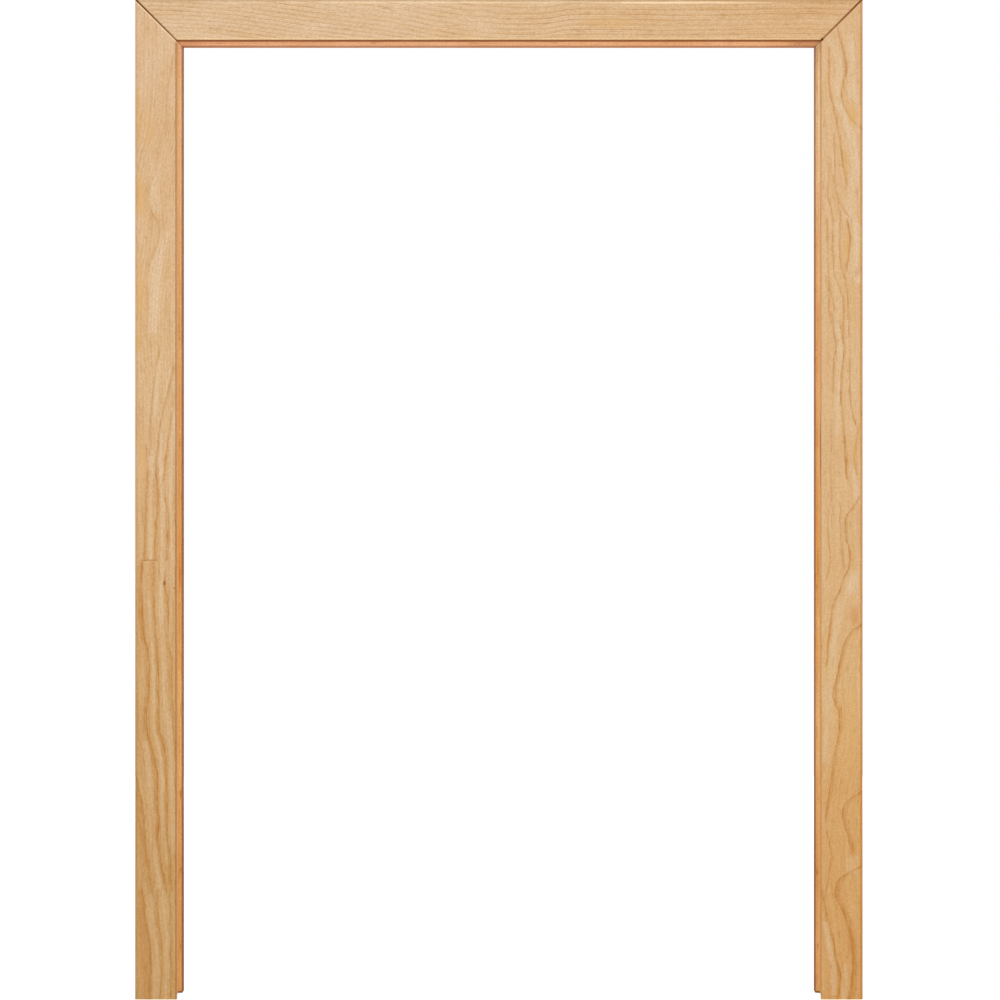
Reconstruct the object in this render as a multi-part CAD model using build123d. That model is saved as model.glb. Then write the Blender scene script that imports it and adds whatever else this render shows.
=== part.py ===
# A wooden door frame for a pair of leaves, as it stands when its wall is taken away.
# Three jambs line the wall's opening, three stops are planted on them, and flat casings
# cover the joint with the wall on both of its faces. All sizes are in millimetres.
# X runs across the opening, Y through the wall with the front at -Y, and Z up.
# The origin is on the floor, midway between the legs and between the wall's faces.
import os
from math import sqrt

from build123d import *

# The leaves that the frame is made for
leaf_width = 686.0
leaf_height = 2032.0
leaf_thickness = 35.0
leaf_count = 2
leaf_gap = 3.0
floor_clearance = 20.0
closing_play = 3.0

# The jambs, which are as deep as the wall is thick
wall_thickness = 116.0
jamb_thickness = 19.0
jamb_arris = 1.0
jamb_horn = 11.0
foot_gap = 8.5

# The head joint: a tongue on the head jamb, housed in the side jambs
tongue_length = 9.5
tongue_thickness = 10.0
housing_play = 0.1

# The stops
stop_thickness = 9.5
stop_width = 57.0
stop_arris = 1.2
stop_mitre_gap = 0.1

# The casings: bevelled outside, rounded inside and hollowed behind
casing_width = 89.0
casing_thickness = 18.0
casing_bevel = 6.0
casing_round = 2.0
hollow_depth = 1.5
hollow_shoulder = 3.0
outer_land = 16.0
inner_land_margin = 5.0
mitre_gap = 0.1
mitre_ease = 0.9

# The beech biscuit in each mitre
biscuit_length = 56.0
biscuit_width = 23.0
biscuit_thickness = 4.0
biscuit_point = 3.0
biscuit_end_play = 0.6
biscuit_face_play = 0.05

# Flat-wire finish nails through the casings, each with a T head along the grain
nail_length = 50.0
nail_width = 1.6
nail_wire = 1.4
nail_head_width = 2.8
nail_head_length = 1.0
nail_point = 3.0
nail_set = 1.5
nail_spacing = 400.0
nail_end_margin = 90.0

# Flat-wire brads through the stops
brad_length = 22.0
brad_width = 1.25
brad_wire = 1.05
brad_head_width = 2.0
brad_head_length = 0.8
brad_point = 2.0
brad_set = 1.0
brad_spacing = 400.0
brad_end_margin = 60.0

# Countersunk screws through the side jambs into the ends of the head jamb
screw_length = 50.0
screw_diameter = 4.0
screw_head_diameter = 8.0
screw_point = 5.0
screw_recess_width = 0.9
screw_recess_depth = 1.4
screw_count = 2
screw_edge_margin = 20.0

# Radial play round every nail, brad and screw
fastener_play = 0.05

# Places that follow from the sizes above
clear_width = leaf_count * leaf_width + (leaf_count + 1) * leaf_gap
clear_height = leaf_height + leaf_gap + floor_clearance
half_clear = clear_width / 2
half_wall = wall_thickness / 2
front_face = -half_wall - casing_thickness
outer_half = half_clear + casing_width
outer_height = clear_height + casing_width
jamb_top = clear_height + jamb_thickness + jamb_horn
stop_front = -half_wall + leaf_thickness + closing_play
stop_middle = stop_front + stop_width / 2


def spread(first, last, spacing):
    """Even places from first to last, about the spacing apart."""
    steps = max(1, round((last - first) / spacing))
    return [first + (last - first) * step / steps for step in range(steps + 1)]


def other_side(shape):
    """The same piece on the frame's left."""
    return mirror(shape, about=Plane.YZ)


def other_face(shape):
    """The same piece on the wall's other face."""
    return mirror(shape, about=Plane.XZ)


# Section planes: the first axis runs away from the opening and the second through the wall
leg_section = Plane(origin=(half_clear, 0, 0))
head_section = Plane(origin=(outer_half, 0, clear_height), x_dir=(0, 0, 1), z_dir=(-1, 0, 0))


def mitre_plane(offset):
    """The right-hand mitre, moved up into the head board, or down into the leg if negative."""
    shift = offset / sqrt(2)
    return Plane(
        origin=(half_clear - shift, 0, clear_height + shift), x_dir=(0, 1, 0), z_dir=(-1, 0, 1)
    )


def cut_leg_mitre(leg, gap):
    """The right leg, without what lies above its mitre."""
    return split(leg, bisect_by=mitre_plane(-gap / 2), keep=Keep.BOTTOM)


def cut_head_mitres(head, gap):
    """The head board, without what lies outside its two mitres."""
    right_cut = split(head, bisect_by=mitre_plane(gap / 2), keep=Keep.TOP)
    return other_side(split(other_side(right_cut), bisect_by=mitre_plane(gap / 2), keep=Keep.TOP))


# Jambs

def jamb_profile():
    """The jamb's section, from its inner face outwards."""
    board = Pos(jamb_thickness / 2, 0) * Rectangle(jamb_thickness, wall_thickness)
    return fillet(board.vertices(), jamb_arris)


def side_jamb():
    """The right jamb, with its housing for the head jamb's tongue."""
    board = Pos(0, 0, foot_gap) * extrude(leg_section * jamb_profile(), jamb_top - foot_gap)
    housing_depth = tongue_length + housing_play
    housing_height = tongue_thickness + housing_play
    housing = Pos(half_clear + housing_depth / 2, 0, clear_height + housing_height / 2) * Box(
        housing_depth, wall_thickness, housing_height
    )
    return board - housing


def head_jamb():
    """The head jamb, with a tongue at each end that is bare on its underside."""
    half_length = half_clear + tongue_length
    section = Plane(origin=(half_length, 0, clear_height), x_dir=(0, 0, 1), z_dir=(-1, 0, 0))
    board = extrude(section * jamb_profile(), 2 * half_length)
    waste_height = jamb_thickness - tongue_thickness
    waste = Pos(
        half_clear + tongue_length / 2, 0, clear_height + tongue_thickness + waste_height / 2
    ) * Box(tongue_length, wall_thickness, waste_height)
    return board - waste - other_side(waste)


# Stops

def stop_profile():
    """The stop's section, from the jamb's face into the opening."""
    board = Pos(-stop_thickness / 2, stop_middle) * Rectangle(stop_thickness, stop_width)
    return fillet(board.vertices().sort_by(Axis.X)[:2], stop_arris)


def side_stop():
    """The right stop."""
    board = Pos(0, 0, foot_gap) * extrude(leg_section * stop_profile(), clear_height - foot_gap)
    return cut_leg_mitre(board, stop_mitre_gap)


def head_stop():
    """The head stop, mitred between the side stops."""
    return cut_head_mitres(extrude(head_section * stop_profile(), 2 * outer_half), stop_mitre_gap)


# Casings

def casing_profile():
    """The casing's section, from its inner edge outwards, with a hollow back."""
    board = Pos(casing_width / 2, front_face + casing_thickness / 2) * Rectangle(
        casing_width, casing_thickness
    )
    front_corners = board.vertices().sort_by(Axis.Y)[:2].sort_by(Axis.X)
    board = fillet(front_corners[0], casing_round)
    outer_corner = board.vertices().filter_by_position(Axis.Y, front_face, front_face).sort_by(Axis.X)[-1]
    board = chamfer(outer_corner, casing_bevel)
    hollow_start = jamb_thickness + inner_land_margin
    hollow_end = casing_width - outer_land
    back = -half_wall
    hollow = Polygon(
        (hollow_start, back),
        (hollow_start + hollow_shoulder, back - hollow_depth),
        (hollow_end - hollow_shoulder, back - hollow_depth),
        (hollow_end, back),
        align=None,
    )
    return board - hollow


def mitre_groove():
    """The shallow groove that the eased arrises of a mitre leave in the casings' front."""
    run = (casing_width + 2 * mitre_ease) * sqrt(2)
    section = Plane(
        origin=(half_clear - mitre_ease, front_face, clear_height - mitre_ease),
        x_dir=(-1, 0, 1),
        z_dir=(1, 0, 1),
    )
    half_groove = mitre_ease + mitre_gap / 2
    notch = Polygon((-half_groove, 0), (half_groove, 0), (0, half_groove), align=None)
    return extrude(section * notch, run)


def biscuit(end_play=0.0, face_play=0.0):
    """The biscuit in the right front mitre, or its slot when it is given play."""
    length = biscuit_length + 2 * end_play
    half_breadth = biscuit_width / 2 + end_play
    tip = length / 2 + biscuit_point
    thickness = biscuit_thickness + 2 * face_play
    lens = make_face(
        ThreePointArc((-tip, 0), (0, half_breadth), (tip, 0))
        + ThreePointArc((tip, 0), (0, -half_breadth), (-tip, 0))
    )
    outline = lens & Rectangle(length, 2 * half_breadth)
    middle = casing_width / 2
    place = Plane(
        origin=(half_clear + middle, front_face + casing_thickness / 2, clear_height + middle),
        x_dir=(1, 0, 1),
        z_dir=(0, -1, 0),
    )
    return extrude(place * outline, thickness / 2, both=True)


# Fasteners, each driven along +Z from the surface at its own origin, with its grain along X

def wire_nail(length, width, wire, head_width, head_length, point, depth, play):
    """A flat-wire nail set below the surface, or its hole from the surface when it is given play."""
    top = 0 if play else depth
    neck = depth + head_length + play
    half_head = head_width / 2 + play
    half_shank = width / 2 + play
    outline = Polygon(
        (-half_head, top),
        (half_head, top),
        (half_head, neck),
        (half_shank, neck),
        (half_shank, depth + length - point),
        (0, depth + length + play),
        (-half_shank, depth + length - point),
        (-half_shank, neck),
        (-half_head, neck),
        align=None,
    )
    return extrude(Plane.XZ * outline, wire / 2 + play, both=True)


def nail(play=0.0):
    return wire_nail(
        nail_length, nail_width, nail_wire, nail_head_width, nail_head_length, nail_point, nail_set, play
    )


def brad(play=0.0):
    return wire_nail(
        brad_length, brad_width, brad_wire, brad_head_width, brad_head_length, brad_point, brad_set, play
    )


def putty(head_width, wire, depth):
    """The filling over a set head, as wide as its hole."""
    return Box(
        head_width + 2 * fastener_play,
        wire + 2 * fastener_play,
        depth,
        align=(Align.CENTER, Align.CENTER, Align.MIN),
    )


def screw(play=0.0):
    """A countersunk wood screw as wide as its thread, or its hole when it is given play."""
    head_height = (screw_head_diameter - screw_diameter) / 2
    outline = Polyline(
        (0, 0),
        (screw_head_diameter / 2 + play, 0),
        (screw_diameter / 2 + play, head_height),
        (screw_diameter / 2 + play, screw_length - screw_point),
        (0, screw_length + play),
        close=True,
    )
    body = revolve(Plane.XZ * make_face(outline), Axis.Z)
    if play:
        return body
    bar = Box(
        screw_diameter,
        screw_recess_width,
        screw_recess_depth,
        align=(Align.CENTER, Align.CENTER, Align.MIN),
    )
    return body - bar - Rot(0, 0, 90) * bar


nail_line = half_clear + jamb_thickness / 2
leg_heights = spread(foot_gap + nail_end_margin, clear_height - nail_end_margin, nail_spacing)
head_reach = half_clear - nail_end_margin
head_widths = spread(-head_reach, head_reach, nail_spacing)
leg_nail_places = [
    Plane(origin=(nail_line, front_face, height), x_dir=(0, 0, 1), z_dir=(0, 1, 0))
    for height in leg_heights
]
head_nail_places = [
    Plane(
        origin=(across, front_face, clear_height + jamb_thickness / 2),
        x_dir=(1, 0, 0),
        z_dir=(0, 1, 0),
    )
    for across in head_widths
]

brad_heights = spread(foot_gap + brad_end_margin, clear_height - brad_end_margin, brad_spacing)
brad_reach = half_clear - brad_end_margin
brad_widths = spread(-brad_reach, brad_reach, brad_spacing)
leg_brad_places = [
    Plane(
        origin=(half_clear - stop_thickness, stop_middle, height), x_dir=(0, 0, 1), z_dir=(1, 0, 0)
    )
    for height in brad_heights
]
head_brad_places = [
    Plane(
        origin=(across, stop_middle, clear_height - stop_thickness), x_dir=(1, 0, 0), z_dir=(0, 0, 1)
    )
    for across in brad_widths
]

screw_reach = half_wall - screw_edge_margin
screw_places = [
    Plane(
        origin=(half_clear + jamb_thickness, depth, clear_height + tongue_thickness / 2),
        z_dir=(-1, 0, 0),
    )
    for depth in spread(-screw_reach, screw_reach, 2 * screw_reach / (screw_count - 1))
]


def place_all(piece, places):
    return [place * piece for place in places]


def mirrored(pieces, move):
    return [move(piece) for piece in pieces]


def group(pieces):
    return Compound(children=pieces)


# The bored boards

leg_nails = place_all(nail(), leg_nail_places)
head_nails = place_all(nail(), head_nail_places)
leg_brads = place_all(brad(), leg_brad_places)
head_brads = place_all(brad(), head_brad_places)
jamb_screws = place_all(screw(), screw_places)

leg_nail_holes = place_all(nail(fastener_play), leg_nail_places)
head_nail_holes = place_all(nail(fastener_play), head_nail_places)
leg_brad_holes = place_all(brad(fastener_play), leg_brad_places)
head_brad_holes = place_all(brad(fastener_play), head_brad_places)
screw_holes = place_all(screw(fastener_play), screw_places)

biscuit_slot = biscuit(biscuit_end_play, biscuit_face_play)
groove = mitre_groove()

casing_leg = cut_leg_mitre(extrude(leg_section * casing_profile(), outer_height), mitre_gap)
casing_leg = casing_leg - [groove, biscuit_slot, *leg_nail_holes]
casing_head = cut_head_mitres(extrude(head_section * casing_profile(), 2 * outer_half), mitre_gap)
casing_head = casing_head - [
    groove, other_side(groove), biscuit_slot, other_side(biscuit_slot), *head_nail_holes
]

stop_leg = side_stop() - leg_brad_holes
stop_top = head_stop() - head_brad_holes

jamb_leg = side_jamb() - [
    *leg_nail_holes, *mirrored(leg_nail_holes, other_face), *leg_brad_holes, *screw_holes
]
jamb_top_board = head_jamb() - [
    *head_nail_holes,
    *mirrored(head_nail_holes, other_face),
    *head_brad_holes,
    *screw_holes,
    *mirrored(screw_holes, other_side),
]

nail_putty = putty(nail_head_width, nail_wire, nail_set)
brad_putty = putty(brad_head_width, brad_wire, brad_set)
leg_putty = place_all(nail_putty, leg_nail_places)
front_putty = leg_putty + mirrored(leg_putty, other_side) + place_all(nail_putty, head_nail_places)
leg_stop_putty = place_all(brad_putty, leg_brad_places)
stop_putty = leg_stop_putty + mirrored(leg_stop_putty, other_side) + place_all(brad_putty, head_brad_places)

front_biscuit = biscuit()

nodes = {
    "jamb_left": other_side(jamb_leg),
    "jamb_right": jamb_leg,
    "jamb_head": jamb_top_board,
    "stop_left": other_side(stop_leg),
    "stop_right": stop_leg,
    "stop_head": stop_top,
    "casing_front_left": other_side(casing_leg),
    "casing_front_right": casing_leg,
    "casing_front_head": casing_head,
    "casing_back_left": other_face(other_side(casing_leg)),
    "casing_back_right": other_face(casing_leg),
    "casing_back_head": other_face(casing_head),
    "biscuit_front_left": other_side(front_biscuit),
    "biscuit_front_right": front_biscuit,
    "biscuit_back_left": other_face(other_side(front_biscuit)),
    "biscuit_back_right": other_face(front_biscuit),
    "nails_front_left": group(mirrored(leg_nails, other_side)),
    "nails_front_right": group(leg_nails),
    "nails_front_head": group(head_nails),
    "nails_back_left": group(mirrored(mirrored(leg_nails, other_side), other_face)),
    "nails_back_right": group(mirrored(leg_nails, other_face)),
    "nails_back_head": group(mirrored(head_nails, other_face)),
    "brads_left": group(mirrored(leg_brads, other_side)),
    "brads_right": group(leg_brads),
    "brads_head": group(head_brads),
    "screws_left": group(mirrored(jamb_screws, other_side)),
    "screws_right": group(jamb_screws),
    "putty_front": group(front_putty),
    "putty_back": group(mirrored(front_putty, other_face)),
    "putty_stops": group(stop_putty),
}

os.makedirs("parts", exist_ok=True)
for name, shape in nodes.items():
    export_step(shape, f"parts/{name}.step")
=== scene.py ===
"""The look of a wooden door frame in sanded, unfinished pine, on a plain white studio floor.

The boards, biscuits, nails, brads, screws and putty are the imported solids. This script gives each of
them its material, and adds the floor, the lamps and the camera. Lengths are in millimetres where a
name or a comment says so, and in metres elsewhere. X runs across the doorway, Y through the wall and
Z up.
"""

import math

import bpy
from mathutils import Matrix, Vector


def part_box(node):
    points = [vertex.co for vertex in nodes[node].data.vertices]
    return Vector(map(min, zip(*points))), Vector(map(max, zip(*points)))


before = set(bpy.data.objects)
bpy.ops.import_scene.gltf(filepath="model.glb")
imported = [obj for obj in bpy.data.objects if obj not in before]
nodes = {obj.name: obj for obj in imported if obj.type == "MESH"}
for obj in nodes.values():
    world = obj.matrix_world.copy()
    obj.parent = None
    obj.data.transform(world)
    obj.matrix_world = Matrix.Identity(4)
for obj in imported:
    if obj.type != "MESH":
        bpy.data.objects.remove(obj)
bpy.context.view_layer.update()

MM = 0.001
WHITE = (1.0, 1.0, 1.0, 1.0)

# Sizes read from the frame: half the doorway's width, its height, and the casings' front
casing_low, casing_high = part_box("casing_front_right")
head_low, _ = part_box("casing_front_head")
HALF_DOORWAY = casing_low.x
DOORWAY_TOP = head_low.z
FRAME_TOP = casing_high.z
FRAME_HALF_WIDTH = casing_high.x
FRONT_FACE = casing_low.y


# Nodes and colours

def linear(hex_colour):
    """An sRGB hex colour as linear values, with alpha."""
    values = [int(hex_colour[i:i + 2], 16) / 255 for i in (1, 3, 5)]
    return tuple(v / 12.92 if v <= 0.04045 else ((v + 0.055) / 1.055) ** 2.4 for v in values) + (1.0,)


def add(tree, kind, inputs, output=0, **settings):
    """Adds one node with its settings, sets or links its inputs, and gives one of its outputs."""
    node = tree.nodes.new(kind)
    for name, value in settings.items():
        setattr(node, name, value)
    for key, value in inputs.items():
        if isinstance(value, bpy.types.NodeSocket):
            tree.links.new(value, node.inputs[key])
        else:
            node.inputs[key].default_value = value
    return node.outputs[output]


# Inputs and output of a Mix node that mixes colours
MIX_FACTOR, MIX_A, MIX_B, MIX_RESULT = 0, 6, 7, 2


def new_material(name):
    """An empty node material."""
    material = bpy.data.materials.new(name)
    material.use_nodes = True
    material.node_tree.nodes.clear()
    return material


def finish_material(tree, shader):
    """Links the shader to the material's output."""
    tree.links.new(shader, tree.nodes.new("ShaderNodeOutputMaterial").inputs["Surface"])


def ramp_stops(output, stops, interpolation="LINEAR"):
    """Gives a colour ramp its stops: a place from 0 to 1 and a grey value or a hex colour for each."""
    ramp = output.node.color_ramp
    ramp.interpolation = interpolation
    while len(ramp.elements) < len(stops):
        ramp.elements.new(0.5)
    for element, (place, value) in zip(ramp.elements, stops):
        element.position = place
        element.color = linear(value) if isinstance(value, str) else (value, value, value, 1.0)
    return output


def curve_points(output, points):
    """Gives a float curve its points, from left to right."""
    mapping = output.node.mapping
    curve = mapping.curves[0]
    while len(curve.points) < len(points):
        curve.points.new(0.5, 0.5)
    for point, (place, value) in zip(curve.points, points):
        point.location = (place, value)
        point.handle_type = "AUTO"
    mapping.update()
    return output


# The ways that a board can lie: its directions across, into and along the grain
UPRIGHT_FACING_FRONT = ((1, 0, 0), (0, 1, 0), (0, 0, 1))
LEVEL_FACING_FRONT = ((0, 0, -1), (0, 1, 0), (1, 0, 0))
UPRIGHT_FACING_RIGHT = ((0, 1, 0), (-1, 0, 0), (0, 0, 1))
UPRIGHT_FACING_LEFT = ((0, -1, 0), (1, 0, 0), (0, 0, 1))
LEVEL_FACING_DOWN = ((0, 1, 0), (0, 0, 1), (1, 0, 0))

# How far a lean curve's full height moves the grain across, in millimetres
LEAN_SPAN = 200.0

# How far to each side of a board's middle a drawn line may wander, in millimetres
PATH_REACH = 60.0

# How far a drawn line wavers, in millimetres from one side to the other, and how deeply the fibres
# break it
LINE_WAVER = 6.0
LINE_BREAK = 1.2

# Where the soft side of a drawn line bends, as a share of its width, and how strong it still is there
SHOULDER_PLACE = 0.3
SHOULDER_STRENGTH = 0.6

# How much patches and fibre streaks lighten and darken the wood, and how ragged they make a spot
PATCH_DEPTH = 0.12
STREAK_DEPTH = 0.07
RAGGEDNESS = 6.0

# How strongly red, green and blue follow a change of tone: darker fibres are browner, and darker
# patches are more golden
FIBRE_TINT = (0.8, 1.0, 1.35)
PATCH_TINT = (0.4, 1.0, 2.3)

# Tones of patches: resinous wood, a pin knot, pale sapwood, golden wood and a bright streak; and of
# painted shadows, in an open joint at the right jamb's front edge and in a mitre's inner corner
RESINOUS = "#c47c38"
PIN_KNOT = "#8a4a18"
SAPWOOD = "#e2c8a6"
GOLDEN = "#dcaa64"
BRIGHT = "#ffe4c0"
SLIT_SHADOW = "#7a4216"
CORNER_SHADOW = "#50260a"

# Tones of resin ducts, glue lines, painted shade on a stop's arris, a painted highlight beside a mitre, and
# end grain
DUCT = "#a3682c"
GLUE_LINE = "#a06a35"
ARRIS_SHADE_TONE = "#945e30"
HIGHLIGHT_TONE = "#ffdfae"
END_GRAIN = "#a4733f"

# Widths in millimetres: half a glue line, how far painted shade reaches from a stop's arris, how high
# painted shade covers a sawn foot and where it ends, and how far from a mitre's line its painted
# highlight lies
GLUE_HALF_WIDTH = 2.0
ARRIS_SHADE_REACH = 3.25
FOOT_SHADE_HEIGHT, FOOT_SHADE_END = 3.0, 4.2
HIGHLIGHT_OFFSET, HIGHLIGHT_HALF_WIDTH = 1.4, 1.6

# A mitre's line: its strength, how much of it is left at the inner end, and where it has faded out,
# in shares of half its width
MITRE_STRENGTH = 0.95
INNER_DIRT = 0.7
MITRE_FADE = 1.3

# Bare wood: the refraction of its fibres, the roughness of early and late wood, how much it shines,
# and the height of its relief in millimetres
WOOD_IOR = 1.5
EARLY_ROUGHNESS, LATE_ROUGHNESS = 0.84, 0.76
WOOD_SHINE = 0.02
WOOD_RELIEF = 0.3

# The profile of a growth line across the grain: soft on its early side, sharp on its late side
BROAD_LINE = [(0.0, 0.0), (0.28, 0.15), (0.52, 0.60), (0.76, 1.0), (0.91, 0.60), (1.0, 0.0)]
THIN_LINE = [(0.0, 0.0), (0.60, 0.05), (0.80, 0.35), (0.90, 1.0), (0.96, 0.4), (1.0, 0.0)]


def shares(points, length_mm):
    """Curve points whose places are given as shares of a board's length, or in mm when above 1."""
    return [(place / length_mm if place > 1 else place, value) for place, value in points]


def band(tree, value, place, half_width, strength):
    """A soft band: this strength near the place, nothing beyond the half width."""
    gap = add(tree, "ShaderNodeMath", {0: value, 1: place}, operation="SUBTRACT")
    gap = add(tree, "ShaderNodeMath", {0: gap}, operation="ABSOLUTE")
    return add(tree, "ShaderNodeMapRange",
               {"Value": gap, "From Min": 0.45 * half_width, "From Max": half_width,
                "To Min": strength, "To Max": 0.0})


def toward(tree, factor, colour, tone, blend_type="MIX"):
    """The colour, mixed toward a hex tone by the factor."""
    return add(tree, "ShaderNodeMix", {MIX_FACTOR: factor, MIX_A: colour, MIX_B: linear(tone)},
               MIX_RESULT, data_type="RGBA", blend_type=blend_type)


def fibre_noise(tree, place, across_mm, along_mm, seed, detail, roughness=0.5):
    """A noise whose grains have this size across the fibres and along them."""
    across = 1 / (across_mm * MM)
    stretched = add(tree, "ShaderNodeVectorMath", {0: place, 1: (across, across, 1 / (along_mm * MM))},
                    operation="MULTIPLY")
    return add(tree, "ShaderNodeTexNoise",
               {"Vector": stretched, "W": seed, "Scale": 1.0, "Detail": detail, "Roughness": roughness},
               "Fac", noise_dimensions="4D")


def vary(tree, noise, depth):
    """A noise as a factor that changes by the depth to each side of 1."""
    return add(tree, "ShaderNodeMath", {0: noise, 1: 2 * depth, 2: 1 - depth}, operation="MULTIPLY_ADD")


def tinted(tree, factor, tint):
    """A factor near 1, for each of red, green and blue, which follow it as strongly as the tint says."""
    rest = tuple(1 - strength for strength in tint)
    return add(tree, "ShaderNodeVectorMath", {0: factor, 1: tint, 2: rest}, operation="MULTIPLY_ADD")


def growth_lines(tree, leaned, share, length_mm, bent, seed, rings, lines, fine):
    """The latewood lines on a board's surfaces, from 0 to 1."""
    # The distance from the pith, in rings
    angle = math.radians(rings["angle"])
    pith = (-rings["pith"] * MM * math.sin(angle), -rings["pith"] * MM * math.cos(angle), 0.0)
    flat = add(tree, "ShaderNodeVectorMath", {0: leaned, 1: (1.0, 1.0, 0.0)}, operation="MULTIPLY")
    radius = add(tree, "ShaderNodeVectorMath", {0: flat, 1: pith}, "Value", operation="DISTANCE")
    ring = add(tree, "ShaderNodeMath",
               {0: radius, 1: 1 / (rings["width"] * MM), 2: rings["phase"]}, operation="MULTIPLY_ADD")
    ring = add(tree, "ShaderNodeMath", {0: ring}, operation="FRACT")
    late = ramp_stops(add(tree, "ShaderNodeValToRGB", {"Fac": ring}), rings["profile"], "B_SPLINE")

    # Narrow rings between the strong ones
    narrow = add(tree, "ShaderNodeMath",
                 {0: radius, 1: rings["narrow"] / (rings["width"] * MM), 2: seed},
                 operation="MULTIPLY_ADD")
    narrow = add(tree, "ShaderNodeMath", {0: narrow}, operation="FRACT")
    narrow = ramp_stops(add(tree, "ShaderNodeValToRGB", {"Fac": narrow}),
                        [(0.0, 0.0), (0.5, 0.2), (0.8, 1.0), (1.0, 0.0)], "B_SPLINE")

    # The lines fade in and out along the board
    fading = add(tree, "ShaderNodeTexNoise",
                 {"Vector": bent, "W": seed + 7.0, "Scale": 0.8, "Detail": 1.0},
                 "Fac", noise_dimensions="4D")
    fading = add(tree, "ShaderNodeMapRange",
                 {"Value": fading, "From Min": 0.35, "From Max": 0.6, "To Min": 0.5, "To Max": 1.0})
    strength = curve_points(add(tree, "ShaderNodeFloatCurve", {"Value": share}),
                            shares(lines, length_mm))
    late = add(tree, "ShaderNodeMath", {0: late, 1: strength}, operation="MULTIPLY")
    narrow = add(tree, "ShaderNodeMath", {0: narrow, 1: fine}, operation="MULTIPLY")
    grain = add(tree, "ShaderNodeMath", {0: late, 1: narrow}, operation="ADD")
    return add(tree, "ShaderNodeMath", {0: grain, 1: fading}, operation="MULTIPLY", use_clamp=True)


def drawn_line(tree, across, share, length_mm, line, pale=False):
    """A line of late wood, or a pale zone between two, that follows its own path along the board.

    Its core's width and its soft side's width are in millimetres, and a negative soft side lies to
    the left. Then come its strength and the points of its path: along the board, and across it. It
    fades over the first and last stretch, except at the board's foot.
    """
    core, soft, strength, points = line
    path = curve_points(add(tree, "ShaderNodeFloatCurve", {"Value": share}),
                        [(along / length_mm, 0.5 + place / (2 * PATH_REACH))
                         for along, place in points])
    off = add(tree, "ShaderNodeMath", {0: path, 1: -2 * PATH_REACH * MM, 2: across},
              operation="MULTIPLY_ADD")
    side = math.copysign(core, soft)
    profile = add(tree, "ShaderNodeMapRange",
                  {"Value": off, "From Min": (-PATH_REACH - side) * MM,
                   "From Max": (-PATH_REACH + soft) * MM})
    peak = core / (core + abs(soft))
    shoulder = peak + SHOULDER_PLACE * (1.0 - peak)
    stops = [(0.0, 0.0), (peak, 1.0), (shoulder, SHOULDER_STRENGTH), (1.0, 0.0)]
    if pale:
        stops = [(0.0, 0.0), (0.35, 1.0), (0.65, 1.0), (1.0, 0.0)]
    profile = ramp_stops(add(tree, "ShaderNodeValToRGB", {"Fac": profile}), stops, "EASE")
    first, second, last_but_one, last = (points[i][0] / length_mm for i in (0, 1, -2, -1))
    depth = curve_points(add(tree, "ShaderNodeFloatCurve", {"Value": share}),
                         [(first, 0.0 if first > 0 else strength), (second, strength),
                          (last_but_one, strength), (last, 0.0)])
    return add(tree, "ShaderNodeMath", {0: profile, 1: depth}, operation="MULTIPLY")


def add_spots(tree, colour, board, ragged, half_length, spots):
    """Patches and knots: tone and its strength, place across, into and along the board, and half
    sizes across and along. A spot with no place into the board shows on its face, and one with
    such a place on its edge.
    """
    for tone, strength, across, into, along, half_width, half_height in spots:
        sideways, lengthways = 1 / (half_width * MM), 1 / (half_height * MM)
        reach = (sideways, 0.0, lengthways) if into is None else (0.0, sideways, lengthways)
        offset = add(tree, "ShaderNodeVectorMath",
                     {0: board, 1: (across * MM, (into or 0.0) * MM, along * MM - half_length)},
                     operation="SUBTRACT")
        offset = add(tree, "ShaderNodeVectorMath", {0: offset, 1: reach}, operation="MULTIPLY")
        gap = add(tree, "ShaderNodeVectorMath", {0: offset}, "Value", operation="LENGTH")
        gap = add(tree, "ShaderNodeMath", {0: gap, 1: ragged}, operation="ADD")
        heart = add(tree, "ShaderNodeMapRange",
                    {"Value": gap, "From Min": 0.3, "From Max": 1.1, "To Min": strength, "To Max": 0.0},
                    interpolation_type="SMOOTHSTEP")
        colour = toward(tree, heart, colour, tone)
    return colour


def add_mitre(tree, colour, here, half_line, tone, highlight):
    """The line of a mitre. Glue and dust darken its eased arrises, most at its outer end, and some
    boards get a painted highlight beside it. Half the line's width is in millimetres.
    """
    x, _, z = add(tree, "ShaderNodeSeparateXYZ", {0: here}).node.outputs
    far = add(tree, "ShaderNodeMath", {0: x}, operation="ABSOLUTE")
    dirt = add(tree, "ShaderNodeMapRange",
               {"Value": far, "From Min": HALF_DOORWAY, "From Max": FRAME_HALF_WIDTH,
                "To Min": INNER_DIRT, "To Max": 1.0})
    # How far the place lies outside the mitre, square to it
    out = add(tree, "ShaderNodeMath", {0: far, 1: z}, operation="SUBTRACT")
    out = add(tree, "ShaderNodeMath", {0: out, 1: DOORWAY_TOP - HALF_DOORWAY}, operation="ADD")
    out = add(tree, "ShaderNodeMath", {0: out, 1: math.sqrt(0.5)}, operation="MULTIPLY")
    # A painted highlight beside the mitre's line
    if highlight:
        beside = band(tree, out, (half_line + HIGHLIGHT_OFFSET) * MM, HIGHLIGHT_HALF_WIDTH * MM, highlight)
        colour = toward(tree, beside, colour, HIGHLIGHT_TONE)
    out = add(tree, "ShaderNodeMath", {0: out}, operation="ABSOLUTE")
    dark = add(tree, "ShaderNodeMapRange",
               {"Value": out, "From Min": half_line * MM, "From Max": MITRE_FADE * half_line * MM,
                "To Min": MITRE_STRENGTH, "To Max": 0.0})
    dark = add(tree, "ShaderNodeMath", {0: dark, 1: dirt}, operation="MULTIPLY")
    return toward(tree, dark, colour, tone)


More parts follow.
